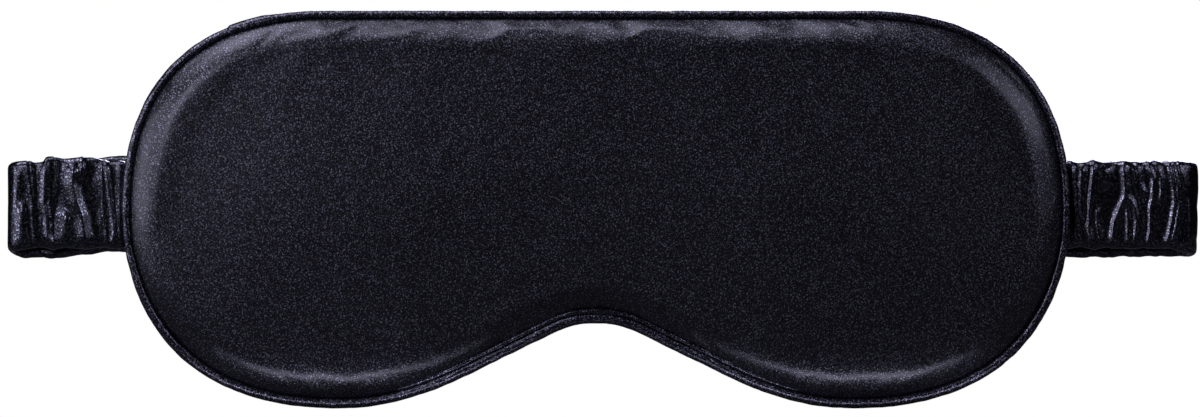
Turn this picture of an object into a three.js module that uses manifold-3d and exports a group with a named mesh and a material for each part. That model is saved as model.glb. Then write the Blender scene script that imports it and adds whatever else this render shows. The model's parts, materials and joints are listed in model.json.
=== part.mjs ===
// Sleep eye mask: a padded satin mask with a piped edge and a gathered elastic headband.
// Millimetres. X runs across the mask, +Z is up, and the wearer's face is on the +Y side.
// The origin is the middle of the eye-side face, on the headband's centre line.
import * as THREE from 'three';
import { mergeVertices } from 'three/addons/utils/BufferGeometryUtils.js';
import Module from 'manifold-3d';

const wasm = await Module();
wasm.setup();

// ---- Driving dimensions ----

// Outline, seen from the front: half width, and the heights of its top, lobes and nose notch
const HALF_WIDTH = 110;
const TOP_Z = 45.8;
const LOBE_Z = -46.5;
const NOTCH_Z = -26.8;
const TOP_FLAT_X = 62.4;
const LOBE_X = 60;
const OUTLINE_STEPS = 72;

// Depth of the mask: its front face, and the plane of its edge seam
const FRONT_Y = -11;
const SEAM_Y = -5.2;
const GAP = 0.3;

// Panels
const PANEL_WALL = 0.6;
const FRONT_SHOULDER = 6;
const BACK_SHOULDER = 3.5;
const SHOULDER_STEPS = 3;

// Piping: a satin strip round a filler cord, with a flange that goes into the seam
const BEAD_R = 1.05;
const BEAD_BORE_R = 0.8;
const CORD_R = 0.5;
const FLANGE_THICK = 0.5;
const FLANGE_LENGTH = 6;
const JOIN_X = -85;
const JOIN_GAP = 0.5;

// Filling
const INTERLINING_THICK = 0.5;
const INTERLINING_INSET = 9;
const WADDING_INSET = 9;
const WADDING_SHOULDER = 3;

// Edge stitching
const THREAD_R = 0.25;
const THREAD_INSET = 4.1;

// Headband: a gathered sleeve over a flat elastic
const BAND_HEIGHT = 21.4;
const BAND_THICK = 2.4;
const SLOT_HEIGHT = 20;
const SLOT_THICK = 1.4;
const ELASTIC_HEIGHT = 19.4;
const ELASTIC_THICK = 0.8;
const BAND_CORNER = 0.6;
const RUN_Y = -2.65;
const BACK_RUN_Y = 1.8;
const SEAM_PIVOT_X = 109.3;
const REACH_LEFT = 136.4;
const REACH_RIGHT = 139.2;

// The sewn ends of the headband inside the side seams, and the tacks that hold them
const END_OUTER_X = 107.8;
const END_LENGTH = 6;
const TACK_X = 103;
const TACK_WIDTH = 1.8;
const TACK_HEIGHT = 18;
const TACK_THICK = 0.25;

// ---- Materials ----

const satin = new THREE.MeshStandardMaterial({ color: 0x16151f, roughness: 0.42, metalness: 0 });
const pipingSatin = new THREE.MeshStandardMaterial({ color: 0x1b1b28, roughness: 0.38, metalness: 0 });
const bandSatin = new THREE.MeshStandardMaterial({ color: 0x12111a, roughness: 0.4, metalness: 0 });
const blackout = new THREE.MeshStandardMaterial({ color: 0x0c0c0e, roughness: 0.95, metalness: 0 });
const wool = new THREE.MeshStandardMaterial({ color: 0xe8e6e0, roughness: 1, metalness: 0 });
const cotton = new THREE.MeshStandardMaterial({ color: 0xd9d4c8, roughness: 0.9, metalness: 0 });
const elasticWeave = new THREE.MeshStandardMaterial({ color: 0x1a1a1c, roughness: 0.8, metalness: 0 });
const thread = new THREE.MeshStandardMaterial({ color: 0x101018, roughness: 0.6, metalness: 0 });

// ---- Solids ----

function toSolid(geometry) {
  const bare = geometry.index ? geometry.toNonIndexed() : geometry.clone();
  bare.deleteAttribute('normal');
  bare.deleteAttribute('uv');
  const merged = mergeVertices(bare, 1e-5);
  const vertProperties = new Float32Array(merged.attributes.position.array);
  const triVerts = new Uint32Array(merged.index.array);
  return new wasm.Manifold(new wasm.Mesh({ numProp: 3, vertProperties, triVerts }));
}

function toGeometry(solid) {
  const { vertProperties, triVerts } = solid.getMesh();
  const geometry = new THREE.BufferGeometry();
  geometry.setAttribute('position', new THREE.BufferAttribute(vertProperties, 3));
  geometry.setIndex(new THREE.BufferAttribute(triVerts, 1));
  geometry.computeVertexNormals();
  return geometry;
}

function block(x0, x1, y0, y1, z0, z1) {
  const box = new THREE.BoxGeometry(x1 - x0, y1 - y0, z1 - z0);
  return box.translate((x0 + x1) / 2, (y0 + y1) / 2, (z0 + z1) / 2);
}

// ---- The outline: right half from the top centre down to the notch, then its mirror image ----

function outlineCurves() {
  const v = (x, z) => new THREE.Vector2(x, z);
  const half = [
    [v(0, TOP_Z), v(TOP_FLAT_X, TOP_Z)],
    [v(TOP_FLAT_X, TOP_Z), v(99.4, TOP_Z), v(HALF_WIDTH, 23.1), v(HALF_WIDTH, 0)],
    [v(HALF_WIDTH, 0), v(HALF_WIDTH, -24.6), v(96.2, LOBE_Z), v(LOBE_X, LOBE_Z)],
    [v(LOBE_X, LOBE_Z), v(47.2, LOBE_Z), v(37.1, -42.6), v(26.4, -37.1)],
    [v(26.4, -37.1), v(9.4, -28.8)],
    [v(9.4, -28.8), v(5.3, -26.9), v(3, NOTCH_Z), v(0, NOTCH_Z)],
  ];
  const mirrored = half.map((points) => points.map((p) => v(-p.x, p.y)).reverse()).reverse();
  const path = new THREE.CurvePath();
  for (const points of [...half, ...mirrored]) {
    path.add(points.length === 2 ? new THREE.LineCurve(...points) : new THREE.CubicBezierCurve(...points));
  }
  return path;
}

const outlinePoints = outlineCurves().getSpacedPoints(OUTLINE_STEPS).slice(0, OUTLINE_STEPS);

// The outline moved inwards by a distance, point by point along its normals
function insetPoints(inset) {
  return outlinePoints.map((p, i) => {
    const before = outlinePoints.at(i - 1);
    const after = outlinePoints[(i + 1) % OUTLINE_STEPS];
    const along = after.clone().sub(before).normalize();
    return new THREE.Vector2(p.x + along.y * inset, p.y - along.x * inset);
  });
}

// A plate of the outline's shape between two depths, with rounded shoulders at both faces if asked
function plate(inset, frontY, backY, shoulderWidth = 0, shoulderDepth = 0) {
  const rounded = shoulderWidth > 0;
  const shape = new THREE.Shape(insetPoints(inset + shoulderWidth));
  const geometry = new THREE.ExtrudeGeometry(shape, {
    depth: backY - frontY - 2 * shoulderDepth,
    bevelEnabled: rounded,
    bevelSize: shoulderWidth,
    bevelThickness: shoulderDepth,
    bevelSegments: SHOULDER_STEPS,
  });
  return geometry.rotateX(Math.PI / 2).translate(0, backY - shoulderDepth, 0);
}

function keepBetween(solid, y0, y1) {
  const wide = 2 * REACH_RIGHT;
  return solid.intersect(toSolid(block(-wide, wide, y0, y1, -wide, wide)));
}

// ---- Mask pieces ----

const BEAD_BACK_Y = SEAM_Y + BEAD_R;
const RIM_INSET = 2 * BEAD_R + GAP;
const FLANGE_FRONT_Y = SEAM_Y - FLANGE_THICK / 2;
const FLANGE_BACK_Y = SEAM_Y + FLANGE_THICK / 2;

// A dish whose face is at faceY and whose rim is at rimY; the face may look to -Y or to +Y
function dish(faceY, rimY, shoulder) {
  const depth = Math.abs(rimY - faceY) - GAP;
  const toRim = Math.sign(rimY - faceY);
  const far = rimY + toRim * 2 * shoulder + toRim * depth;
  const spanOuter = [faceY, far].sort((a, b) => a - b);
  const spanInner = [faceY + toRim * PANEL_WALL, far].sort((a, b) => a - b);
  const outer = toSolid(plate(RIM_INSET, ...spanOuter, shoulder, depth));
  const innerShoulder = shoulder - PANEL_WALL / 2;
  const inner = toSolid(plate(RIM_INSET + PANEL_WALL, ...spanInner, innerShoulder, depth - PANEL_WALL));
  const [y0, y1] = [faceY - toRim, rimY].sort((a, b) => a - b);
  return keepBetween(outer.subtract(inner), y0, y1);
}

function frontPanel() {
  return toGeometry(dish(FRONT_Y, FLANGE_FRONT_Y - GAP, FRONT_SHOULDER));
}

// The eye-side lining, open at each side where the headband leaves the seam
function backPanel() {
  const tall = BAND_HEIGHT / 2 + GAP;
  const y0 = RUN_Y - BAND_THICK / 2 - GAP;
  const y1 = RUN_Y + BAND_THICK / 2 + GAP;
  let solid = dish(0, FLANGE_BACK_Y + GAP, BACK_SHOULDER);
  for (const side of [-1, 1]) {
    const [x0, x1] = [side * (END_OUTER_X - END_LENGTH - GAP), side * REACH_LEFT].sort((a, b) => a - b);
    solid = solid.subtract(toSolid(block(x0, x1, y0 - 1, y1, -tall, tall)));
  }
  return toGeometry(solid);
}

const INTERLINING_Y = FRONT_Y + PANEL_WALL + GAP;
const WADDING_FRONT_Y = INTERLINING_Y + INTERLINING_THICK + GAP;
const WADDING_BACK_Y = -PANEL_WALL - GAP;

function blackoutInterlining() {
  return plate(INTERLINING_INSET, INTERLINING_Y, INTERLINING_Y + INTERLINING_THICK);
}

function wadding() {
  return plate(WADDING_INSET, WADDING_FRONT_Y, WADDING_BACK_Y, WADDING_SHOULDER, WADDING_SHOULDER);
}

// ---- Edge pieces: each follows the outline once round, starting and ending at the piping's join ----

function edgePath(inset, y) {
  const points = insetPoints(inset).map((p) => new THREE.Vector3(p.x, y, p.y));
  const onTopLeft = points.findLastIndex((p) => p.z > 0 && p.x < JOIN_X);
  const loop = [...points.slice(onTopLeft), ...points.slice(0, onTopLeft + 1)];
  const step = loop[0].distanceTo(loop[1]);
  const first = loop[0].clone().lerp(loop[1], JOIN_GAP / 2 / step);
  const last = loop.at(-1).clone().lerp(loop.at(-2), JOIN_GAP / 2 / step);
  return new THREE.CatmullRomCurve3([first, ...loop.slice(1, -1), last]);
}

function alongEdge(section, path, curveSegments) {
  return new THREE.ExtrudeGeometry(section, { steps: OUTLINE_STEPS, extrudePath: path, curveSegments });
}

function pipingSleeve() {
  const lip = Math.asin(FLANGE_THICK / 2 / BEAD_R);
  const section = new THREE.Shape();
  section.moveTo(FLANGE_THICK / 2, FLANGE_LENGTH);
  section.lineTo(-FLANGE_THICK / 2, FLANGE_LENGTH);
  section.absarc(0, 0, BEAD_R, Math.PI / 2 + lip, Math.PI * 2.5 - lip);
  section.closePath();
  const bore = new THREE.Path();
  bore.absarc(0, 0, BEAD_BORE_R, 0, 2 * Math.PI, true);
  section.holes.push(bore);
  return alongEdge(section, edgePath(BEAD_R, SEAM_Y), 4);
}

function roundCord(radius, inset, y) {
  const section = new THREE.Shape();
  section.absarc(0, 0, radius, 0, 2 * Math.PI);
  return alongEdge(section, edgePath(inset, y), 3);
}

function pipingCord() {
  return roundCord(CORD_R, BEAD_R, SEAM_Y);
}

function edgeSeamThread() {
  return roundCord(THREAD_R, THREAD_INSET, FLANGE_BACK_Y + GAP + THREAD_R);
}

// ---- Headband ----

const TO_X = new THREE.Matrix4().makeBasis(
  new THREE.Vector3(0, 1, 0),
  new THREE.Vector3(0, 0, 1),
  new THREE.Vector3(1, 0, 0),
);
const FOLD_Y = (RUN_Y + BACK_RUN_Y) / 2;
const FOLD_R = (BACK_RUN_Y - RUN_Y) / 2;
const FOLD_OUT = FOLD_R + BAND_THICK / 2;
const FOLD_X = { left: -(REACH_LEFT - FOLD_OUT), right: REACH_RIGHT - FOLD_OUT };

// A rectangle with clipped corners, thick in its first direction and tall in its second
function clippedRectangle(thick, tall, corner) {
  const [a, b] = [thick / 2, tall / 2];
  const shape = new THREE.Shape();
  shape.moveTo(-a, corner - b);
  shape.lineTo(corner - a, -b);
  shape.lineTo(a - corner, -b);
  shape.lineTo(a, corner - b);
  shape.lineTo(a, b - corner);
  shape.lineTo(a - corner, b);
  shape.lineTo(corner - a, b);
  shape.lineTo(-a, b - corner);
  shape.closePath();
  return shape;
}

function rectanglePath(thick, tall) {
  const [a, b] = [thick / 2, tall / 2];
  const corners = [[-a, -b], [-a, b], [a, b], [a, -b]];
  return new THREE.Path(corners.map(([x, y]) => new THREE.Vector2(x, y)));
}

// A straight stretch of the sleeve along X, open at both ends for the elastic
function sleeveStretch(xFrom, xTo, y) {
  const section = clippedRectangle(BAND_THICK, BAND_HEIGHT, BAND_CORNER);
  section.holes.push(rectanglePath(SLOT_THICK, SLOT_HEIGHT));
  const geometry = new THREE.ExtrudeGeometry(section, { depth: xTo - xFrom, bevelEnabled: false });
  return geometry.applyMatrix4(TO_X).translate(xFrom, y, 0);
}

function elasticStretch(xFrom, xTo, y) {
  const half = [ELASTIC_THICK / 2, ELASTIC_HEIGHT / 2];
  return block(xFrom, xTo, y - half[0], y + half[0], -half[1], half[1]);
}

// Half a ring about the fold's upright axis, bulging outwards from the mask
function halfRing(side, radius, thick, tall, overrun) {
  const bulge = side === 'left' ? Math.PI : 0;
  const [inner, outer] = [radius - thick / 2, radius + thick / 2];
  const shape = new THREE.Shape();
  const inwards = -Math.cos(bulge) * overrun;
  shape.absarc(0, 0, outer, bulge - Math.PI / 2, bulge + Math.PI / 2);
  if (overrun) {
    shape.lineTo(inwards, outer * Math.cos(bulge));
    shape.lineTo(inwards, inner * Math.cos(bulge));
  }
  shape.absarc(0, 0, inner, bulge + Math.PI / 2, bulge - Math.PI / 2, true);
  if (overrun) {
    shape.lineTo(inwards, -inner * Math.cos(bulge));
    shape.lineTo(inwards, -outer * Math.cos(bulge));
  }
  shape.closePath();
  const geometry = new THREE.ExtrudeGeometry(shape, { depth: tall, bevelEnabled: false, curveSegments: 5 });
  return geometry.translate(FOLD_X[side], FOLD_Y, -tall / 2);
}

function sleeveFold(side) {
  const whole = toSolid(halfRing(side, FOLD_R, BAND_THICK, BAND_HEIGHT, 0));
  return toGeometry(whole.subtract(toSolid(halfRing(side, FOLD_R, SLOT_THICK, SLOT_HEIGHT, 1))));
}

function elasticFold(side) {
  return halfRing(side, FOLD_R, ELASTIC_THICK, ELASTIC_HEIGHT, 0);
}

function tack(side) {
  const y = RUN_Y + BAND_THICK / 2 + GAP;
  const x = side * TACK_X;
  const [w, h] = [TACK_WIDTH / 2, TACK_HEIGHT / 2];
  return block(x - w, x + w, y, y + TACK_THICK, -h, h);
}

// ---- Assembly ----

const group = new THREE.Group();

function add(name, geometry, material) {
  const mesh = new THREE.Mesh(geometry, material);
  mesh.name = name;
  group.add(mesh);
}

add('front_panel', frontPanel(), satin);
add('blackout_interlining', blackoutInterlining(), blackout);
add('wadding', wadding(), wool);
add('back_panel', backPanel(), satin);
add('piping_sleeve', pipingSleeve(), pipingSatin);
add('piping_cord', pipingCord(), cotton);
add('edge_seam_thread', edgeSeamThread(), thread);

for (const [side, sign] of [['left', -1], ['right', 1]]) {
  const stretch = (from, to) => [sign * from, sign * to].sort((a, b) => a - b);
  const end = stretch(END_OUTER_X - END_LENGTH, END_OUTER_X);
  const run = stretch(SEAM_PIVOT_X, Math.abs(FOLD_X[side]) - GAP);
  const back = stretch(GAP, Math.abs(FOLD_X[side]) - GAP);
  add(`sleeve_end_${side}`, sleeveStretch(...end, RUN_Y), bandSatin);
  add(`elastic_end_${side}`, elasticStretch(...end, RUN_Y), elasticWeave);
  add(`band_tack_${side}`, tack(sign), thread);
  add(`sleeve_run_${side}`, sleeveStretch(...run, RUN_Y), bandSatin);
  add(`elastic_run_${side}`, elasticStretch(...run, RUN_Y), elasticWeave);
  add(`sleeve_fold_${side}`, sleeveFold(side), bandSatin);
  add(`elastic_fold_${side}`, elasticFold(side), elasticWeave);
  add(`sleeve_back_${side}`, sleeveStretch(...back, BACK_RUN_Y), bandSatin);
  add(`elastic_back_${side}`, elasticStretch(...back, BACK_RUN_Y), elasticWeave);
}

export default group;
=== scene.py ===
# %% [markdown]
# # A padded satin sleep mask
#
# The real mask is two layers of silk satin over a soft filling, with a piped edge and a gathered
# elastic headband that lies folded behind it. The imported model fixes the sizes, the pieces and the
# joints. This lesson builds the cloth, the stitching and the finishes around it.

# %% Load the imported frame
import json
import math

import bmesh
import bpy
import numpy as np
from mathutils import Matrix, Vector
from mathutils.geometry import delaunay_2d_cdt

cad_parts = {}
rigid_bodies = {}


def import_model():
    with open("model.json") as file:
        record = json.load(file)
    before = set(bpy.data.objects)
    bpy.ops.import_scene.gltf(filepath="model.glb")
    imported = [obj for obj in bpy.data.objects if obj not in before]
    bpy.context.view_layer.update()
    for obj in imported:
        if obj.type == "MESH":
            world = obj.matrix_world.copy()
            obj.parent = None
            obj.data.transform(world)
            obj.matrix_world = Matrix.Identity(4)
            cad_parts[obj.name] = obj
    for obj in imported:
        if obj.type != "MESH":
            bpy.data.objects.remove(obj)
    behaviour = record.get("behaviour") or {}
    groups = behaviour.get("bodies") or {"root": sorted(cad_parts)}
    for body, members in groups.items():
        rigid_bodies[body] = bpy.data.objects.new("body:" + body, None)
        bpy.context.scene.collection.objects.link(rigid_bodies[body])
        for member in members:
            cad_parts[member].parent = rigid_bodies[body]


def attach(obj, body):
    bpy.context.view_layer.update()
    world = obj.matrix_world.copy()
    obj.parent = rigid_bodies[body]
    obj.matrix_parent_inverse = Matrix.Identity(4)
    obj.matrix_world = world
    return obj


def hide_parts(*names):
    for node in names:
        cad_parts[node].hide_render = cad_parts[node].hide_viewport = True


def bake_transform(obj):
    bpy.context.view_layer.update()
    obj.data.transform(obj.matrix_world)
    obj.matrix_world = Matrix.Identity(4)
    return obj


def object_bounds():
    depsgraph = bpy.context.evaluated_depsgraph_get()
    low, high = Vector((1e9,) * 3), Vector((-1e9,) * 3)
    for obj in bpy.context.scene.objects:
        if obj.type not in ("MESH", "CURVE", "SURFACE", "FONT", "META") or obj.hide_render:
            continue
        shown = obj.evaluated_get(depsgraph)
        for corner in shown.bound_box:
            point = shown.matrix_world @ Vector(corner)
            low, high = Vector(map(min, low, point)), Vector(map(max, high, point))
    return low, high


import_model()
cad_low, cad_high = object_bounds()
MM = 0.001
print("CAD box, mm:", [round(v / MM, 1) for v in (*cad_low, *cad_high)])

# %% [markdown]
# ## Camera first
#
# A flat product seen straight from the front could be shot with any long lens. A parallel
# (orthographic) camera is chosen, because it keeps both ends of the headband at the same scale.

# %% Camera
OBJECT_WIDTH = cad_high.x - cad_low.x
FRAME_MARGIN = 1.0101
camera_data = bpy.data.cameras.new("front_camera")
camera_data.type = "ORTHO"
camera_data.ortho_scale = OBJECT_WIDTH * FRAME_MARGIN
camera = bpy.data.objects.new("front_camera", camera_data)
bpy.context.scene.collection.objects.link(camera)
camera.location = ((cad_low.x + cad_high.x) / 2 - 0.5 * MM, -1.2, -0.1 * MM)
camera.rotation_euler = (math.radians(90), 0, 0)
bpy.context.scene.camera = camera
print("Frame width, mm:", round(camera_data.ortho_scale / MM, 1))

# %% [markdown]
# ## Light and floor
#
# Satin shows its shape only by what it reflects. Broad panels of light stand above, to the left and
# to the right, and the middle of the mask faces the dark gap between them, so it stays deep and the
# rounded shoulders catch the light. Two small fills pick out the folds at the ends of the headband,
# and a narrow card below lights the lower shoulders. The floor looks pale to the camera, and is darker
# to everything else, so it throws little light back up.


# %% A lamp panel that faces the mask
BEAM_DEGREES = 75


def lamp_panel(name, place, size, watts, aim=(0, 0, 0)):
    data = bpy.data.lights.new(name, "AREA")
    data.shape = "RECTANGLE"
    data.size, data.size_y = size
    data.energy = watts
    data.spread = math.radians(BEAM_DEGREES)
    lamp = bpy.data.objects.new(name, data)
    lamp.location = place
    lamp.rotation_euler = (Vector(aim) - Vector(place)).to_track_quat("-Z", "Y").to_euler()
    lamp.visible_camera = False
    bpy.context.scene.collection.objects.link(lamp)


lamp_panel("top_panel", (-0.28, -0.22, 0.74), (0.6, 0.65), 1.35)
lamp_panel("left_panel", (-0.72, -0.28, 0.12), (0.7, 0.45), 0.62)
lamp_panel("left_fill", (-0.20, -0.27, 0.10), (0.14, 0.14), 0.068)
lamp_panel("right_panel", (0.62, -0.40, 0.36), (0.45, 0.45), 0.27)
lamp_panel("right_fill", (0.26, -0.34, 0.16), (0.14, 0.14), 0.035)
lamp_panel("back_panel_light", (0.3, 0.9, 0.5), (0.7, 0.7), 3.0)
lamp_panel("low_card", (0, -0.019, -0.0455), (0.2, 0.005), 0.0037, aim=(0, 0, -0.038))

# %% [markdown]
# ## Helpers for finishes
#
# Colours are written as the hex values that a maker's swatch would have, and turned to linear light
# by one function. One small function adds a node, sets it and links it.


# %% Colour and node helpers
def swatch(hex_code):
    channels = [int(hex_code[i:i + 2], 16) / 255 for i in (1, 3, 5)]
    linear = [c / 12.92 if c <= 0.04045 else ((c + 0.055) / 1.055) ** 2.4 for c in channels]
    return (*linear, 1.0)


def feed(tree, node, **inputs):
    """Set or link a node's inputs. _0 names an input by its number, and a node gives its first output."""
    for key, value in inputs.items():
        numbered = key[0] == "_" and key[1:].isdigit()
        socket = node.inputs[int(key[1:]) if numbered else key.replace("_", " ")]
        if isinstance(value, bpy.types.Node):
            value = value.outputs[0]
        if isinstance(value, bpy.types.NodeSocket):
            tree.links.new(value, socket)
        else:
            socket.default_value = value
    return node


def put(tree, kind, settings=None, **inputs):
    made = tree.nodes.new(kind)
    for key, value in (settings or {}).items():
        setattr(made, key, value)
    return feed(tree, made, **inputs)


def new_material(name):
    material = bpy.data.materials.new(name)
    material.use_nodes = True
    tree = material.node_tree
    tree.nodes.clear()
    shader = put(tree, "ShaderNodeBsdfPrincipled")
    put(tree, "ShaderNodeOutputMaterial", Surface=shader)
    return material, tree, shader


MATHS = "ShaderNodeMath"
NOISE = "ShaderNodeTexNoise"
COLOUR_MIX = {"data_type": "RGBA"}

# %% World: white to look at, dim to be lit by
WHITE = (1, 1, 1, 1)
world = bpy.data.worlds.new("studio")
bpy.context.scene.world = world
world.use_nodes = True
sky = world.node_tree
sky.nodes.clear()
lit = put(sky, "ShaderNodeBackground", Color=WHITE, Strength=0.010)
seen = put(sky, "ShaderNodeBackground", Color=WHITE)
to_camera = put(sky, "ShaderNodeLightPath").outputs["Is Camera Ray"]
either = put(sky, "ShaderNodeMixShader", Fac=to_camera, _1=lit, _2=seen)
put(sky, "ShaderNodeOutputWorld", Surface=either)
bpy.context.scene.view_settings.view_transform = "Standard"


# %% Floor
def make_floor():
    material, tree, shader = new_material("matt_paper_sweep")
    place = put(tree, "ShaderNodeTexCoord").outputs["Object"]
    mottle = put(tree, NOISE, Vector=place, Scale=6.0)
    tint = put(tree, "ShaderNodeMix", COLOUR_MIX, _0=mottle, _6=swatch("#ececea"), _7=swatch("#f4f4f2"))
    to_camera = put(tree, "ShaderNodeLightPath").outputs["Is Camera Ray"]
    # Painted shade: rays that don't come from the camera see the floor as dark grey, as if it lay in
    # shade, so the mask reflects and takes up little light from it. The camera sees the pale paper.
    paper_with_painted_shade = put(tree, "ShaderNodeMix", COLOUR_MIX, _0=to_camera, _6=swatch("#454547"), _7=tint.outputs[2])
    feed(tree, shader, Base_Color=paper_with_painted_shade.outputs[2], Roughness=0.9)
    half, behind, level = 0.45, 0.08, cad_low.z - 0.4 * MM
    mesh = bpy.data.meshes.new("floor")
    signs = ((-1, -1), (1, -1), (1, 1), (-1, 1))
    corners = [(half * x, half * y + behind, level) for x, y in signs]
    mesh.from_pydata(corners, [], [(0, 1, 2, 3)])
    mesh.materials.append(material)
    floor = bpy.data.objects.new("floor", mesh)
    bpy.context.scene.collection.objects.link(floor)


make_floor()

# %% [markdown]
# ## Satin
#
# Silk charmeuse is a satin weave: long floats lie over the face, so it is smooth and glossy, but the
# gloss is broken by thousands of thread tops. It could be a painted noise, but a real float is about
# 0.1 mm, too fine to show, so the grain here is drawn at about 0.35 mm. The tops are shiny and the
# hollows between them dark, which gives the sparkle in the highlights. The pattern is turned, because
# a noise that lies square to a nearly flat panel draws contour lines on it.


# %% Satin
def satin(name, dark, light, roughness, roughness_swing, grain_mm, grain_height, gloss_tint):
    material, tree, shader = new_material(name)
    place = put(tree, "ShaderNodeTexCoord").outputs["Object"]
    turned = put(tree, "ShaderNodeMapping", Vector=place, Rotation=(0.61, 0.37, 0.83))
    grain = put(tree, NOISE, Vector=turned, Scale=1 / (grain_mm * MM), Detail=1.0)
    cloud = put(tree, NOISE, Vector=place, Scale=40.0, Detail=3.0)
    thread_top = put(tree, "ShaderNodeMapRange", Value=grain, From_Min=0.50, From_Max=0.57)
    shine = put(tree, "ShaderNodeMapRange", Value=grain, From_Min=0.53, From_Max=0.70)
    colour = put(tree, "ShaderNodeMix", COLOUR_MIX, _0=shine, _6=swatch(dark), _7=swatch(light))
    rough = put(
        tree, "ShaderNodeMapRange", Value=grain, From_Min=0.3, From_Max=0.7,
        To_Min=roughness - roughness_swing, To_Max=roughness + roughness_swing,
    )
    worn = put(tree, MATHS, {"operation": "MULTIPLY_ADD"}, _0=cloud, _1=0.08, _2=rough)
    bump = put(tree, "ShaderNodeBump", Height=grain, Strength=1.0, Distance=grain_height * MM)
    feed(
        tree, shader, Base_Color=colour.outputs[2], Metallic=thread_top, Roughness=worn, Normal=bump,
        Specular_Tint=swatch(gloss_tint), IOR=1.45,
    )
    return material


panel_satin = satin("charmeuse_panel_satin", "#07060c", "#6a6a80", 0.30, 0.13, 0.34, 0.04, "#e4e2ff")
piping_satin = satin("bias_cut_piping_satin", "#06050a", "#807e9c", 0.25, 0.13, 0.36, 0.04, "#dcdbff")
band_satin = satin("gathered_band_satin", "#020203", "#7a7993", 0.17, 0.05, 0.34, 0.03, "#d6d5ff")


# %% [markdown]
# ## Hidden cloths and threads
#
# The filling, the interlining, the cord and the elastic never show on a whole mask, but the mask comes
# apart into them, so each one gets the finish of the real thing: lofty wadding, a dense black weave,
# twisted cotton, ribbed elastic and polyester thread.


# %% Woven cloth and fibre finishes
BAND_GAP = 0.3125  # how far apart a wave texture's bands lie at scale 1; each takes in two threads


def woven(name, warp, weft, pitch_mm, roughness, height_mm):
    material, tree, shader = new_material(name)
    place = put(tree, "ShaderNodeTexCoord").outputs["Object"]
    across, down = [
        put(
            tree, "ShaderNodeTexWave", {"wave_type": "BANDS", "bands_direction": way},
            Vector=place, Scale=BAND_GAP / (2 * pitch_mm * MM), Distortion=0.6,
        ).outputs["Fac"]
        for way in "XZ"
    ]
    crossing = put(tree, MATHS, {"operation": "MAXIMUM"}, _0=across, _1=down)
    colour = put(tree, "ShaderNodeMix", COLOUR_MIX, _0=crossing, _6=swatch(warp), _7=swatch(weft))
    bump = put(tree, "ShaderNodeBump", Height=crossing, Strength=0.8, Distance=height_mm * MM)
    feed(tree, shader, Base_Color=colour.outputs[2], Normal=bump, Roughness=roughness)
    return material


def fibre(name, dark, light, clump_mm, roughness, height_mm):
    material, tree, shader = new_material(name)
    place = put(tree, "ShaderNodeTexCoord").outputs["Object"]
    clumps = put(tree, NOISE, Vector=place, Scale=1 / (clump_mm * MM), Detail=6.0, Distortion=1.5)
    colour = put(tree, "ShaderNodeMix", COLOUR_MIX, _0=clumps, _6=swatch(dark), _7=swatch(light))
    bump = put(tree, "ShaderNodeBump", Height=clumps, Strength=1.0, Distance=height_mm * MM)
    feed(tree, shader, Base_Color=colour.outputs[2], Normal=bump, Roughness=roughness, Sheen_Weight=0.3)
    return material


blackout_cloth = woven("dense_blackout_cloth", "#0a0a0b", "#151517", 0.5, 0.92, 0.05)
elastic_weave = woven("woven_rubber_elastic", "#101012", "#26262a", 0.8, 0.75, 0.15)
polyester_wadding = fibre("polyester_wadding", "#d9d7d0", "#f4f2ec", 2.5, 0.95, 0.6)
cotton_cord = fibre("twisted_cotton_cord", "#b9b3a2", "#e2ddcf", 0.5, 0.9, 0.1)
sewing_thread = fibre("polyester_thread", "#0b0b12", "#22222e", 0.15, 0.5, 0.02)

# %% [markdown]
# ## The cut outline
#
# Every layer of the mask is cut to one outline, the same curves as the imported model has: a flat top,
# round corners, two lobes and a nose notch. The points are spaced evenly, so that a distance along
# the edge is a real length of seam.

# %% Outline
HALF_WIDTH, TOP_Z, LOBE_Z, NOTCH_Z = 110.0, 45.8, -46.5, -26.8
EDGE_STEPS = 560
RIGHT_HALF = [
    [(0, TOP_Z), (20.8, TOP_Z), (41.6, TOP_Z), (62.4, TOP_Z)],
    [(62.4, TOP_Z), (99.4, TOP_Z), (HALF_WIDTH, 23.1), (HALF_WIDTH, 0)],
    [(HALF_WIDTH, 0), (HALF_WIDTH, -24.6), (96.2, LOBE_Z), (60, LOBE_Z)],
    [(60, LOBE_Z), (47.2, LOBE_Z), (37.1, -42.6), (26.4, -37.1)],
    [(26.4, -37.1), (20.7, -34.3), (15.1, -31.6), (9.4, -28.8)],
    [(9.4, -28.8), (5.3, -26.9), (3, NOTCH_Z), (0, NOTCH_Z)],
]


def bezier(points, samples=120):
    a, b, c, d = np.array(points, float)
    t = np.linspace(0, 1, samples, endpoint=False)[:, None]
    return (1 - t) ** 3 * a + 3 * (1 - t) ** 2 * t * b + 3 * (1 - t) * t ** 2 * c + t ** 3 * d


def even_loop(points, count):
    closed = np.vstack([points, points[:1]])
    lengths = np.concatenate([[0], np.cumsum(np.linalg.norm(np.diff(closed, axis=0), axis=1))])
    wanted = np.linspace(0, lengths[-1], count, endpoint=False)
    return np.column_stack([np.interp(wanted, lengths, closed[:, k]) for k in (0, 1)]), lengths[-1]


def inward_of(loop):
    """From each point of the loop, the way into the mask."""
    forward = np.roll(loop, -1, axis=0) - np.roll(loop, 1, axis=0)
    forward /= np.linalg.norm(forward, axis=1)[:, None]
    return np.column_stack([forward[:, 1], -forward[:, 0]])


right = np.vstack([bezier(piece) for piece in RIGHT_HALF] + [[(0, NOTCH_Z)]])
left = right[::-1][1:-1] * (-1, 1)
EDGE, SEAM_LENGTH = even_loop(np.vstack([right, left]), EDGE_STEPS)
ALONG = np.arange(EDGE_STEPS) * SEAM_LENGTH / EDGE_STEPS
INWARD = inward_of(EDGE)
print("Seam length, mm:", round(SEAM_LENGTH, 1))


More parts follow.
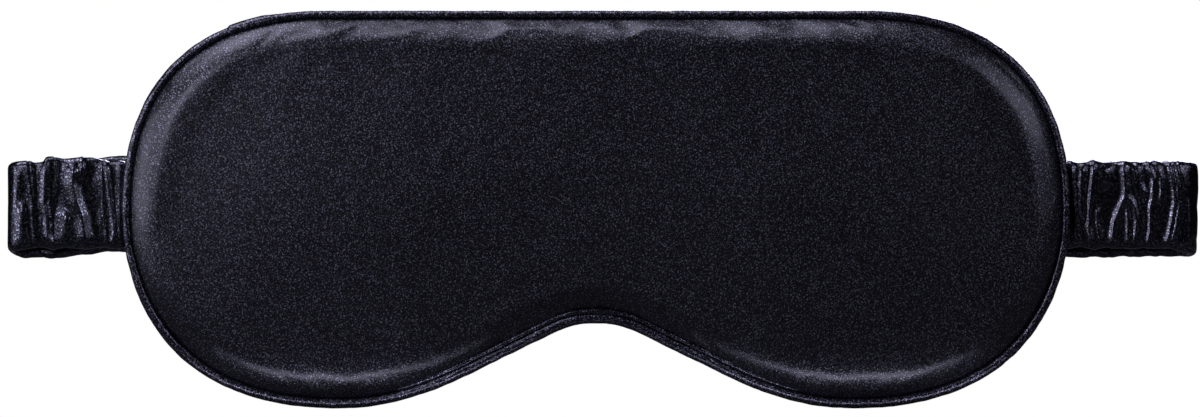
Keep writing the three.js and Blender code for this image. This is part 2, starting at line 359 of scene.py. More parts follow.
# %% A smooth irregular wave, the same on every run
def hand_wave(values, wavelength, seed, terms=4):
    draw = np.random.default_rng(seed)
    total = np.zeros_like(values, dtype=float)
    for k in range(terms):
        turn = draw.uniform(0, 2 * math.pi)
        stretch = draw.uniform(0.6, 1.7)
        total += np.sin(2 * math.pi * values / (wavelength * stretch) + turn)
    return total / terms


def ease(low, high, values):
    t = np.clip((values - low) / (high - low), 0, 1)
    return t * t * (3 - 2 * t)


# %% [markdown]
# ## How wide the piping is
#
# The piping lies on edge along the top and sides. Round the lobes and the notch the bias strip is
# stretched and rolls a little to the front, so more of it shows. Its radius is a rule along the seam:
# thin on top, fuller below, thickest in the notch, with a short double stretch where the ends overlap.

# %% Piping radius along the seam
SEAM_Y = -5.2
JOIN_AT = int(np.argmin(np.hypot(EDGE[:, 0] + 85.3, EDGE[:, 1] - 43.0)))
below = ease(-5, -32, EDGE[:, 1])
in_notch = ease(52, 30, np.abs(EDGE[:, 0])) * (EDGE[:, 1] < 0)
BEAD_R = 0.97 + 0.2 * below + 0.14 * in_notch + 0.04 * hand_wave(ALONG, 30, 5)
RIM_INSET = 2 * BEAD_R - 0.15
print("Piping radius, mm:", BEAD_R.min().round(2), "to", BEAD_R.max().round(2))


# %% Meshes from points and faces
def new_piece(name, points_mm, faces, material, smooth=True):
    mesh = bpy.data.meshes.new(name)
    mesh.from_pydata([tuple(p) for p in np.asarray(points_mm) * MM], [], [tuple(f) for f in faces])
    mesh.materials.append(material)
    mesh.polygons.foreach_set("use_smooth", [smooth] * len(mesh.polygons))
    mesh.validate()
    piece = bpy.data.objects.new(name, mesh)
    bpy.context.scene.collection.objects.link(piece)
    return piece


def plain_mesh(piece):
    depsgraph = bpy.context.evaluated_depsgraph_get()
    mesh = bpy.data.meshes.new_from_object(piece.evaluated_get(depsgraph), depsgraph=depsgraph)
    piece.modifiers.clear()
    old = piece.data
    piece.data = mesh
    bpy.data.meshes.remove(old)
    return piece


def thicken(piece, cloth_mm):
    """Give a cloth its thickness, inwards from the face that shows."""
    wall = piece.modifiers.new("cloth_thickness", "SOLIDIFY")
    wall.thickness, wall.offset = cloth_mm * MM, -1
    return plain_mesh(piece)


def vertex_array(mesh):
    flat = np.zeros(len(mesh.vertices) * 3)
    mesh.vertices.foreach_get("co", flat)
    return flat.reshape(-1, 3)


# %% [markdown]
# ## The two padded panels
#
# The front panel and the lining are sewn together round the rim and puffed apart by the wadding. The
# shape could be drawn by hand, but cloth has its own small slack and ripples, so it is simulated. Both
# panels start as one pad with rounded shoulders. It is a little too large, pinned at the rim, and
# pressed from inside, and how far a point may move is capped, because the wadding isn't a balloon.

# %% The flat cut, filled with even triangles
LATTICE = 2.2


def fill_outline(rim, spacing, rings=()):
    low, high = rim.min(0), rim.max(0)
    rows = np.arange(low[1], high[1], spacing * math.sqrt(3) / 2)
    columns = np.arange(low[0], high[0], spacing)
    grid = np.array([(x + (j % 2) * spacing / 2, z) for j, z in enumerate(rows) for x in columns])
    depth = depth_inside(grid, rim)
    reach = depth_inside(rings[-1][:1], rim)[0] if len(rings) else 0
    inner = grid[depth > reach + 0.6 * spacing]
    points = [Vector(p) for p in np.vstack([rim, *rings, inner])]
    loop = [(i, (i + 1) % len(rim)) for i in range(len(rim))]
    out_points, _, faces, *_ = delaunay_2d_cdt(points, loop, [], 1, 1e-6)
    return np.array([tuple(p) for p in out_points]), faces


def depth_inside(points, rim):
    start, end = rim, np.roll(rim, -1, axis=0)
    span = end - start
    best = np.full(len(points), 1e9)
    inside = np.zeros(len(points), bool)
    for a, b, d in zip(start, end, span):
        t = np.clip(((points - a) @ d) / (d @ d), 0, 1)
        gap = np.linalg.norm(points - a - t[:, None] * d, axis=1)
        best = np.minimum(best, gap)
        crosses = (a[1] > points[:, 1]) != (b[1] > points[:, 1])
        if abs(d[1]) > 1e-12:
            at = a[0] + (points[:, 1] - a[1]) / d[1] * d[0]
            inside ^= crosses & (points[:, 0] < at)
    return np.where(inside, best, -best)


rim_count = EDGE_STEPS // 2
RIM = (EDGE + INWARD * RIM_INSET[:, None])[::2]
RING_INSETS = (0.7, 1.5, 2.4, 3.4, 4.6, 6.0, 7.6)
RINGS = [RIM + INWARD[::2] * inset for inset in RING_INSETS]
flat_points, flat_faces = fill_outline(RIM, LATTICE, RINGS)
depth = np.maximum(depth_inside(flat_points, RIM), 0)
depth[:rim_count] = 0
print("Panel points:", len(flat_points), "triangles:", len(flat_faces))

# %% Shoulders, crown and small puckers
FRONT_FACE_Y, BACK_FACE_Y = -10.7, -0.35
SHOULDER, CROWN_REACH = 6.9, 42  # mm in from the seam
ROUNDNESS = 2.0
EDGE_SHARE, CROWN_SHARE = 0.80, 0.20


def puff(depth_mm, height, shoulder):
    """A rounded shoulder that meets the seam at a slope, and a shallow dome inside it."""
    u = np.clip(depth_mm / shoulder, 0, 1)
    edge = 1 - (1 - u) ** ROUNDNESS
    crown = ease(0.3 * shoulder, CROWN_REACH, depth_mm)
    return height * (EDGE_SHARE * edge + CROWN_SHARE * crown)


front_rim_y, back_rim_y = SEAM_Y - 0.25, SEAM_Y + 0.25
front_y = front_rim_y - puff(depth, front_rim_y - FRONT_FACE_Y, SHOULDER)
back_y = back_rim_y + puff(depth, BACK_FACE_Y - back_rim_y, SHOULDER)
seam_place = np.argmin(
    ((flat_points[:, None, :] - RIM[None, ::4, :]) ** 2).sum(2), axis=1
) * 4 * SEAM_LENGTH / rim_count
pucker = hand_wave(seam_place, 6.5, 11, 5) * np.exp(-depth / 4.5) * ease(0, 1.2, depth)


# %% Simulate the slack
def facing_front(points, faces):
    """The triangles as tuples, all seen from the front."""
    a, b, c = points[list(faces[0])]
    turned = np.cross(b - a, c - a) < 0
    return [tuple(reversed(f)) if turned else tuple(f) for f in faces]


PAD_FRAMES, PAD_CAP = 14, 0.55  # time steps, and the most that a point may move, in mm


def simulate_pad(points, faces, pinned):
    pad = new_piece("pad_cloth", points, faces, panel_satin)
    hold = pad.vertex_groups.new(name="rim")
    hold.add([int(i) for i in pinned], 1.0, "REPLACE")
    cloth = pad.modifiers.new("cloth", "CLOTH")
    settings = cloth.settings
    settings.quality = 5
    settings.mass = 0.12
    settings.tension_stiffness = settings.compression_stiffness = 25
    settings.shear_stiffness = 10
    settings.bending_stiffness = 0.6
    settings.vertex_group_mass = "rim"
    settings.use_pressure = True
    settings.uniform_pressure_force = 2.5
    settings.shrink_min = -0.012
    settings.effector_weights.gravity = 0
    scene = bpy.context.scene
    scene.frame_start, scene.frame_end = 1, PAD_FRAMES
    cloth.point_cache.frame_start, cloth.point_cache.frame_end = 1, PAD_FRAMES
    for step in range(1, PAD_FRAMES + 1):
        scene.frame_set(step)
    moved = vertex_array(pad.evaluated_get(bpy.context.evaluated_depsgraph_get()).data) / MM
    scene.frame_set(1)
    bpy.data.objects.remove(pad)
    shift = moved - points
    reach = np.linalg.norm(shift, axis=1)[:, None]
    print("Cloth moved, mm: most", reach.max().round(2), "mean", reach.mean().round(2))
    return points + shift * np.minimum(1, PAD_CAP / np.maximum(reach, 1e-9))


# %% Shape both panels, with part of that slack
SLACK_MIDDLE, SLACK_RIM = 0.10, 0.34
FRONT_PUCKER, BACK_PUCKER, DIMPLE = 0.16, 0.10, 0.45
count = len(flat_points)
front_points = np.column_stack([flat_points[:, 0], front_y, flat_points[:, 1]])
back_points = np.column_stack([flat_points[:, 0], back_y, flat_points[:, 1]])
front_faces = facing_front(flat_points, flat_faces)
back_faces = [tuple(count + i for i in reversed(f)) for f in front_faces]
pad_points = np.vstack([front_points, back_points])
pinned = np.concatenate([np.arange(rim_count), count + np.arange(rim_count)])
settled = simulate_pad(pad_points, front_faces + back_faces, pinned)
near_rim = np.tile(ease(16, 5, depth), 2)[:, None]
pad_points = pad_points + (settled - pad_points) * (SLACK_MIDDLE + SLACK_RIM * near_rim)
front_points, back_points = pad_points[:count], pad_points[count:]
front_points[:, 1] -= FRONT_PUCKER * pucker
back_points[:, 1] += BACK_PUCKER * pucker
# The seam draws the cloth in at one place above the notch.
dimple = np.exp(-((front_points[:, 0] - 1.2) / 1.1) ** 2 - ((front_points[:, 2] + 22) / 3.2) ** 2)
front_points[:, 1] += DIMPLE * dimple


# %% Finish the panels: smooth them and give the cloth a thickness
PANEL_CLOTH = 0.3


def refine(piece):
    smooth = piece.modifiers.new("finer", "SUBSURF")
    smooth.levels = smooth.render_levels = 1
    return piece


down_faces = [tuple(reversed(f)) for f in front_faces]
front_panel = thicken(
    refine(new_piece("satin_front_panel", front_points, front_faces, panel_satin)), PANEL_CLOTH,
)
back_panel = thicken(
    refine(new_piece("satin_back_panel", back_points, down_faces, panel_satin)), PANEL_CLOTH,
)
print("Front panel faces:", len(front_panel.data.polygons))


# %% [markdown]
# ## Filling and blackout layer
#
# The wadding is a cut of polyester fibre with soft edges, and the blackout layer is a thin dense cloth
# under the face satin. Both follow the same outline, smaller. The same fill function makes them, with
# coarser triangles.


# %% Wadding and blackout layer
def inner_outline(inset):
    ring = (EDGE + INWARD * inset)[::8]
    points, faces = fill_outline(ring, 3.6)
    deep = np.maximum(depth_inside(points, ring), 0)
    deep[:len(ring)] = 0
    return points, facing_front(points, faces), deep, len(ring)


def closed_pad(name, inset, front, back, shoulder, material, lumps):
    points, facing, deep, ring = inner_outline(inset)
    middle = (front + back) / 2
    swell = puff(deep, (back - front) / 2, shoulder)
    lump = lumps * hand_wave(points[:, 0] + 0.6 * points[:, 1], 17, 21) * ease(0, 6, deep)
    ahead = np.column_stack([points[:, 0], middle - swell + lump, points[:, 1]])
    behind = np.column_stack([points[:, 0], middle + swell + lump, points[:, 1]])[ring:]
    total = len(points)
    rear = [tuple(i if i < ring else total + i - ring for i in reversed(f)) for f in facing]
    return plain_mesh(refine(new_piece(name, np.vstack([ahead, behind]), facing + rear, material)))


def blackout_sheet(name, inset, behind_mm, thick_mm):
    """A thin cloth that follows the front panel, a little behind it."""
    points, faces, _, _ = inner_outline(inset)
    level = np.array([
        front_points[np.argsort(((front_points[:, (0, 2)] - p) ** 2).sum(1))[:6], 1].mean()
        for p in points
    ])
    place = np.column_stack([points[:, 0], level + behind_mm, points[:, 1]])
    return thicken(new_piece(name, place, faces, blackout_cloth), thick_mm)


wadding = closed_pad("wadding_fill", 6.5, -8.9, -1.3, 6.0, polyester_wadding, 0.12)
blackout = blackout_sheet("blackout_layer", 8.0, 0.55, 0.3)
print("Wadding faces:", len(wadding.data.polygons), "blackout faces:", len(blackout.data.polygons))

# %% [markdown]
# ## Piping
#
# The piping is a bias strip of the same satin, wrapped round a cotton cord and caught in the seam. It
# follows the edge, so Geometry Nodes sweep a round profile along it. The radius comes from the rule
# above, and a noise gives the slight waves of hand-guided sewing. Round the notch the stretched strip
# buckles, so a second, thinner roll lies beside the first. The seam allowance lies flat inside both.


# %% A node group with named inputs
def node_group(name, sizes):
    group = bpy.data.node_groups.new(name, "GeometryNodeTree")
    group.interface.new_socket("Geometry", in_out="INPUT", socket_type="NodeSocketGeometry")
    for label, (kind, value) in sizes.items():
        group.interface.new_socket(label, in_out="INPUT", socket_type="NodeSocket" + kind)
    group.interface.new_socket("Geometry", in_out="OUTPUT", socket_type="NodeSocketGeometry")
    entry = group.nodes.new("NodeGroupInput")
    leave = group.nodes.new("NodeGroupOutput")
    return group, entry.outputs, leave.inputs[0]


def add_nodes(piece, group, sizes):
    """Put the tree on an object, with each named input set by its socket's identifier."""
    modifier = piece.modifiers.new(group.name, "NODES")
    modifier.node_group = group
    for item in group.interface.items_tree:
        if item.in_out == "INPUT" and item.name in sizes:
            modifier[item.identifier] = sizes[item.name][1]
    return piece


def close_tree(group, geometry, leave, material):
    real = put(group, "GeometryNodeRealizeInstances", _0=geometry)
    dressed = put(group, "GeometryNodeSetMaterial", _0=real, Material=material)
    group.links.new(dressed.outputs[0], leave)


# %% A curve object from points and radii
def path_curve(name, loops):
    curve = bpy.data.curves.new(name, "CURVE")
    curve.dimensions = "3D"
    for points, radii, cyclic in loops:
        spline = curve.splines.new("POLY")
        spline.points.add(len(points) - 1)
        spline.use_cyclic_u = cyclic
        flat = np.column_stack([np.asarray(points) * MM, np.ones(len(points))]).ravel()
        spline.points.foreach_set("co", flat)
        spline.points.foreach_set("radius", list(radii))
    made = bpy.data.objects.new(name, curve)
    bpy.context.scene.collection.objects.link(made)
    return made


def mesh_from_curve(curve_object, group, sizes):
    """The node result as a mesh object of the same name; the curve goes."""
    add_nodes(curve_object, group, sizes)
    depsgraph = bpy.context.evaluated_depsgraph_get()
    # The nodes turn the curve into a mesh, and Blender lists that mesh as an instance of the curve.
    for instance in depsgraph.object_instances:
        if instance.object.original == curve_object and instance.object.type == "MESH":
            result = bpy.data.meshes.new_from_object(instance.object)
    name = curve_object.name
    bpy.data.objects.remove(curve_object)
    piece = bpy.data.objects.new(name, result)
    bpy.context.scene.collection.objects.link(piece)
    for polygon in result.polygons:
        polygon.use_smooth = True
    return piece


# %% The piping tree
PIPING_SIZES = {
    "Ripple depth": ("Float", 0.10 * MM),
    "Ripple length": ("Float", 3.2 * MM),
    "Round steps": ("Int", 18),
    "Seed": ("Float", 7.0),
}
piping_group, size_of, leave = node_group("sweep_piping", PIPING_SIZES)
profile = put(
    piping_group, "GeometryNodeCurvePrimitiveCircle", Radius=MM, Resolution=size_of["Round steps"],
)
swept = put(
    piping_group, "GeometryNodeCurveToMesh", Curve=size_of["Geometry"], Profile_Curve=profile,
    Scale=put(piping_group, "GeometryNodeInputRadius"),
)
where = put(piping_group, "GeometryNodeInputPosition")
per_length = put(piping_group, MATHS, {"operation": "DIVIDE"}, _0=1.0, _1=size_of["Ripple length"])
wave = put(
    piping_group, NOISE, {"noise_dimensions": "4D"},
    Vector=where, W=size_of["Seed"], Scale=per_length, Detail=1.0,
)
centred = put(piping_group, MATHS, {"operation": "SUBTRACT"}, _0=wave, _1=0.5)
swing = put(piping_group, MATHS, {"operation": "MULTIPLY"}, _0=centred, _1=size_of["Ripple depth"])
# This noise strays only about a quarter from its middle, so four times that is the full depth.
full_swing = put(piping_group, MATHS, {"operation": "MULTIPLY"}, _0=swing, _1=4.0)
normal = put(piping_group, "GeometryNodeInputNormal")
offset = put(
    piping_group, "ShaderNodeVectorMath", {"operation": "SCALE"}, _0=normal, Scale=full_swing,
)
rippled = put(piping_group, "GeometryNodeSetPosition", Geometry=swept, Offset=offset)
close_tree(piping_group, rippled, leave, piping_satin)

# %% Piping along the seam
FINE_STEPS = 1150
FINE, _ = even_loop(EDGE, FINE_STEPS)
fine_along = np.arange(FINE_STEPS) * SEAM_LENGTH / FINE_STEPS
fine_inward = inward_of(FINE)
fine_r = np.interp(fine_along, ALONG, BEAD_R, period=SEAM_LENGTH)
past_join = (fine_along - ALONG[JOIN_AT] + SEAM_LENGTH / 2) % SEAM_LENGTH - SEAM_LENGTH / 2
OVERLAP_RISE = 0.36
overlap = OVERLAP_RISE * ease(-0.3, 0.25, past_join) * ease(12.5, 8.5, past_join)
fine_r = fine_r + overlap
bead_centre = FINE + fine_inward * (fine_r - overlap)[:, None]
bead_y = SEAM_Y + 0.12 * hand_wave(fine_along, 22, 9) - 0.25 * np.interp(fine_along, ALONG, below)
bead_path = np.column_stack([bead_centre[:, 0], bead_y, bead_centre[:, 1]])
notch_weight = np.interp(fine_along, ALONG, in_notch, period=SEAM_LENGTH)
second = np.where(notch_weight > 0.02)[0]
split = np.where(np.diff(second) > 1)[0]
if len(split):
    second = np.concatenate([second[split[0] + 1:], second[:split[0] + 1]])
second_r = 0.12 + 0.50 * notch_weight[second]
second_in = (2 * fine_r + 0.28)[second]
second_line = FINE[second] + fine_inward[second] * second_in[:, None]
second_y = SEAM_Y - 0.75 - 0.35 * notch_weight[second] + 0.12 * hand_wave(fine_along[second], 9, 31)
second_path = np.column_stack([second_line[:, 0], second_y, second_line[:, 1]])
PIPING_CLOTH, CORD_R = 0.2, 0.55
rolls = [(bead_path, fine_r, True), (second_path, second_r, False)]
piping = mesh_from_curve(path_curve("piping_bias_strip", rolls), piping_group, PIPING_SIZES)
thicken(piping, PIPING_CLOTH)
print("Piping faces:", len(piping.data.polygons))


# %% The seam allowance: a closed ring of rectangular section inside the bead
def ring_strip(name, inner_inset, outer_inset, y_front, y_back, material):
    base = EDGE[::2]
    inward = INWARD[::2]
    n = len(base)
    corners = []
    turns = (outer_inset, y_front), (outer_inset, y_back), (inner_inset, y_back), (inner_inset, y_front)
    for inset, y in turns:
        ring = base + inward * inset
        corners.append(np.column_stack([ring[:, 0], np.full(n, y), ring[:, 1]]))
    faces = []
    for k in range(4):
        a, b = k * n, ((k + 1) % 4) * n
        faces += [(a + i, a + (i + 1) % n, b + (i + 1) % n, b + i) for i in range(n)]
    return new_piece(name, np.vstack(corners), faces, material, smooth=False)


def join_into(piece, other):
    both = bmesh.new()
    both.from_mesh(piece.data)
    both.from_mesh(other.data)
    both.to_mesh(piece.data)
    both.free()
    bpy.data.objects.remove(other)


# %% Sew in the allowance, and lay the filler cord with the same tree
join_into(piping, ring_strip("piping_seam_allowance", 7.0, 2.4, -5.4, -5.0, piping_satin))
cord_sizes = dict(PIPING_SIZES, **{"Ripple depth": ("Float", 0.0)})
cord_group = piping_group.copy()
cord_group.name = "sweep_cord"
for node in cord_group.nodes:
    if node.bl_idname == "GeometryNodeSetMaterial":
        node.inputs["Material"].default_value = cotton_cord
cord_path = path_curve("piping_filler_cord", [(bead_path, np.full(FINE_STEPS, CORD_R), True)])
filler_cord = mesh_from_curve(cord_path, cord_group, cord_sizes)
print("Filler cord faces:", len(filler_cord.data.polygons))

# %% [markdown]
# ## Stitches
#
# A lockstitch row runs through both panels and the piping just inside the bead, and a dense bar of
# stitches holds each end of the headband. Every stitch is the same short length of thread with rounded
# ends, so one is made and the tree lays copies along a line at the real pitch.

# %% The stitch tree
STITCH_SIZES = {
    "Pitch": ("Float", 2.5 * MM),
    "Stitch length": ("Float", 2.1 * MM),
    "Thread radius": ("Float", 0.22 * MM),
    "Turn": ("Float", 0.0),
    "Turn jitter": ("Float", 0.05),
    "Seed": ("Int", 3),
}
stitch_group, size_of, leave = node_group("stitch_row", STITCH_SIZES)
spots = put(
    stitch_group, "GeometryNodeResampleCurve", {"mode": "LENGTH"},
    Curve=size_of["Geometry"], Length=size_of["Pitch"],
)
thread = put(stitch_group, "GeometryNodeMeshUVSphere", Segments=8, Rings=6, Radius=0.5)
twice = put(stitch_group, MATHS, {"operation": "MULTIPLY"}, _0=size_of["Thread radius"], _1=2.0)
stretch = put(
    stitch_group, "ShaderNodeCombineXYZ", X=size_of["Stitch length"], Y=twice, Z=twice,
)
one_stitch = put(stitch_group, "GeometryNodeTransform", Geometry=thread, Scale=stretch)
lie = put(stitch_group, "GeometryNodeInputTangent")
along_line = put(stitch_group, "FunctionNodeAlignRotationToVector", {"axis": "X"}, Vector=lie)
jitter = {"_0": size_of["Turn"], "_1": size_of["Turn jitter"]}
least = put(stitch_group, MATHS, {"operation": "SUBTRACT"}, **jitter)
most = put(stitch_group, MATHS, {"operation": "ADD"}, **jitter)
each = put(
    stitch_group, "FunctionNodeRandomValue", {"data_type": "FLOAT"},
    _2=least, _3=most, Seed=size_of["Seed"],
)
about_y = put(stitch_group, "ShaderNodeCombineXYZ", Y=each.outputs[1])
tilt = put(
    stitch_group, "FunctionNodeRotateRotation", {"rotation_space": "GLOBAL"},
    Rotation=along_line, Rotate_By=about_y,
)
laid = put(
    stitch_group, "GeometryNodeInstanceOnPoints", Points=spots, Instance=one_stitch, Rotation=tilt,
)
close_tree(stitch_group, laid, leave, sewing_thread)

# %% Edge seam
seam_ring = EDGE + INWARD * 4.1
seam_path = np.column_stack([seam_ring[:, 0], np.full(EDGE_STEPS, -4.75), seam_ring[:, 1]])
seam_curve = path_curve("edge_seam_stitches", [(seam_path, np.ones(EDGE_STEPS), True)])
edge_seam = mesh_from_curve(seam_curve, stitch_group, STITCH_SIZES)
print("Edge seam faces:", len(edge_seam.data.polygons))

# %% Bar tacks, on the surface of the back panel
TACK_SIZES = dict(STITCH_SIZES, **{
    "Pitch": ("Float", 0.62 * MM),
    "Stitch length": ("Float", 2.0 * MM),
    "Thread radius": ("Float", 0.2 * MM),
    "Turn": ("Float", math.radians(90)),
    "Turn jitter": ("Float", 0.22),
})
back_surface = vertex_array(back_panel.data) / MM


def skin_y(x, z):
    """How far back the back panel reaches at a place, in mm."""
    near = np.hypot(back_surface[:, 0] - x, back_surface[:, 2] - z) < 1.3
    return back_surface[near, 1].max()


TACK_X, TACK_HALF, TACK_ROWS = 103.0, 9, 25
tacks = {}
for side, x in (("left", -TACK_X), ("right", TACK_X)):
    line = [(x, skin_y(x, z) + 0.02, z) for z in np.linspace(-TACK_HALF, TACK_HALF, TACK_ROWS)]
    tack_curve = path_curve("bar_tack_" + side, [(line, np.ones(len(line)), False)])
    tacks[side] = mesh_from_curve(tack_curve, stitch_group, TACK_SIZES)
print("Bar tack faces:", len(tacks["left"].data.polygons))

# %% [markdown]
# ## The gathered headband
#
# The band is a satin tube, 1.4 times as long as the elastic inside it, so it gathers into close
# folds. Its path is a rule: out from the side seam, round a fold, and back behind the mask. A flat tube
# is laid along that path with its real length stored on every point. The nodes then gather it: a noise
# that is short along the band and long across it gives puffs with creases between them, and the creases
# fork as those of real gathers do. The folds at the two ends, which show most, are laid one by one.
# The band is gathered as one cloth and then cut in three.

# %% The band's path, from one side seam to the other
RUN_Y, BACK_Y, FOLD_Y, FOLD_R = -2.65, 1.8, -0.425, 2.225
PIVOT_X, LEFT_FOLD_X, RIGHT_FOLD_X = 109.3, -132.975, 135.775
BAND_STEP, FINE_BAND_STEP, FINE_REACH = 0.6, 0.28, 36.0


def band_path():
    half_turn = math.pi * FOLD_R
    run_left = -LEFT_FOLD_X - PIVOT_X
    run_right = RIGHT_FOLD_X - PIVOT_X
    back = RIGHT_FOLD_X - LEFT_FOLD_X
    stops = np.cumsum([0, run_left, half_turn, back, half_turn, run_right])
    fine = np.arange(0, FINE_REACH, FINE_BAND_STEP)
    steps = int((stops[-1] - 2 * FINE_REACH) / BAND_STEP)
    coarse = np.linspace(FINE_REACH, stops[-1] - FINE_REACH, steps)
    along = np.concatenate([fine, coarse, (stops[-1] - fine)[::-1]])
    x, y, tx, ty = (np.zeros(len(along)) for _ in range(4))
    for i, s in enumerate(along):
        if s <= stops[1]:
            x[i], y[i], tx[i], ty[i] = -PIVOT_X - s, RUN_Y, -1, 0
        elif s <= stops[2]:
            a = (s - stops[1]) / FOLD_R
            x[i] = LEFT_FOLD_X - FOLD_R * math.sin(a)
            y[i] = FOLD_Y - FOLD_R * math.cos(a)
            tx[i], ty[i] = -math.cos(a), math.sin(a)
        elif s <= stops[3]:
            x[i], y[i], tx[i], ty[i] = LEFT_FOLD_X + s - stops[2], BACK_Y, 1, 0
        elif s <= stops[4]:
            a = (s - stops[3]) / FOLD_R
            x[i] = RIGHT_FOLD_X + FOLD_R * math.sin(a)
            y[i] = FOLD_Y + FOLD_R * math.cos(a)
            tx[i], ty[i] = math.cos(a), -math.sin(a)
        else:
            x[i], y[i], tx[i], ty[i] = RIGHT_FOLD_X - (s - stops[4]), RUN_Y, -1, 0
    return along, np.column_stack([x, y]), np.column_stack([tx, ty]), stops


band_along, band_line, band_tangent, band_stops = band_path()
print("Band length, mm:", band_stops.round(1))

# %% Height and sway of the band
sewn_side = np.minimum(band_along, band_stops[-1] - band_along)
run_share = ease(32, 22, sewn_side)
HALF_H = 10.95 - 0.95 * run_share + 0.3 * hand_wave(band_along, 5.0, 41, 4)
sway_back = np.interp(
    band_line[:, 0], [-136, -125, -112, -95, -40, 0, 40, 95, 112, 125, 139],
    [-0.4, -0.6, 1.0, 0.9, 0.2, 0, 0.2, -0.2, -0.4, -0.2, -0.1],
)
SWAY = run_share * 0.75 + (1 - run_share) * sway_back
band_x = band_line[:, 0]
proud_fold = (band_line[:, 1] < FOLD_Y) * ease(-128.0, -127.4, band_x) * ease(-112.5, -117.0, band_x)
FOLD_RISE = 0.45
HALF_H = HALF_H + FOLD_RISE * proud_fold
SWAY = SWAY + FOLD_RISE * proud_fold

# %% Folds laid one by one at the ends, as lines across the band in mm: width, height, points
LEFT_FOLDS = [
    (0.35, 0.30, [(-134.6, 9.6), (-134.6, -9.6)]),
    (0.9, 0.55, [(-133.2, -0.5), (-133.3, -4.5), (-132.8, -9.0)]),
    (0.35, 0.35, [(-134.0, 8.0), (-134.3, 3.0), (-134.2, -5), (-133.2, -9.4)]),
    (0.35, 0.40, [(-132.3, 10.8), (-131.1, 3), (-130.5, -5), (-130.0, -10)]),
    (0.35, 0.35, [(-131.1, 10.8), (-130.4, 3.2), (-130.6, -5), (-129.7, -10)]),
    (0.45, 0.95, [(-127.7, 12), (-128.1, 1.4), (-127.5, -1.9), (-127.3, -6.5), (-125.9, -9.6)]),
    (1.25, 1.25, [
        (-121.3, 8.4), (-121.6, 5.8), (-120.6, 1.6), (-119.4, -1.9), (-118.9, -5.4), (-118.4, -8.6),
    ]),
    (0.5, 0.65, [(-119.2, 11.6), (-119.5, 7.4), (-120.6, 4.5), (-120.3, 1.0)]),
    (1.1, 0.8, [(-122.9, -2.4), (-123.2, -5.5), (-123.7, -8.4)]),
    (0.3, 0.45, [(-121.8, -2.6), (-121.9, -9.6)]),
    (0.3, 0.40, [(-114.7, 10.3), (-114.3, -2.3), (-113.4, -8.2)]),
    (0.35, 0.65, [(-113.9, 11.2), (-112.8, 2.3), (-112.0, -2.8), (-111.8, -6.5), (-113.0, -9.8)]),
    (0.9, 0.35, [(-110.4, 10), (-110.4, -9)]),
]
RIGHT_FOLDS = [
    (0.32, 0.55, [(110.2, 11), (111.0, 0), (111.8, -10)]),
    (0.7, 0.55, [(113.0, 10.3), (112.6, 4.6), (112.9, -2.0)]),
    (0.35, 0.7, [(115.6, 11.5), (114.5, 0.2), (114.3, -4.2), (114.9, -8.1), (116.3, -10.2)]),
    (1.5, 0.6, [(118.1, 8.6), (118.1, 7.0)]),
    (0.35, 0.5, [(116.3, -0.5), (116.5, -4.5), (117.3, -9.4)]),
    (0.75, 0.85, [(122.4, 11.6), (122.9, 5.1), (122.9, 1.5)]),
    (0.5, 0.8, [(122.9, 3.0), (121.6, 0.0), (120.2, -3.4), (119.8, -6.5), (119.4, -10.0)]),
    (0.4, 0.7, [(122.9, 3.0), (123.5, -2.6), (123.4, -9.6)]),
    (0.5, 0.65, [(122.9, 3.5), (124.8, 0.5), (125.5, -2.5), (125.4, -4.9), (124.6, -9.8)]),
    (0.8, 0.4, [(123.9, 9.4), (126.7, 1.6), (126.7, -3.0), (126.2, -9.6)]),
    (0.5, 0.55, [(125.5, 10.3), (126.2, 5.5), (127.2, 3.4)]),
    (0.35, 0.75, [(127.6, 11.2), (129.4, 7.0), (129.2, 2.6), (128.6, 0.2), (128.6, -5.3), (127.6, -9.8)]),
    (0.4, 0.6, [(129.5, 11.5), (131.1, 7.0), (131.3, 3.7), (131.0, 2.2)]),
    (0.35, 0.75, [(132.7, 11.0), (134.0, 5.1), (134.3, 1.4), (133.8, -1.9), (132.9, -6.5), (132.0, -9.4)]),
    (0.35, 0.75, [(133.7, 11.2), (135.0, 5.1), (135.3, 0.2), (134.6, -4.2), (133.3, -8.9)]),
    (0.35, 0.7, [(134.8, 11.2), (136.9, 4.6), (137.3, -1.2), (137.3, -6.5), (136.2, -10.6)]),
    (0.3, 0.35, [(136.0, 11.0), (137.9, 4.6), (138.2, -6.5)]),
]


def fold_heights(x, z, folds):
    """Height of the laid folds at each place, mm."""
    total = np.zeros(len(x))
    for width, height, line in folds:
        line = np.array(line)
        best = np.full(len(x), 1e9)
        for a, b in zip(line[:-1], line[1:]):
            span = b - a
            t = np.clip(((x - a[0]) * span[0] + (z - a[1]) * span[1]) / (span @ span), 0, 1)
            best = np.minimum(best, np.hypot(x - a[0] - t * span[0], z - a[1] - t * span[1]))
        crest = 0.55 * np.exp(-((best / width) ** 1.5)) + 0.45 * np.exp(-((best / (width + 0.7)) ** 2))
        total = np.maximum(total, height * crest)
    return total


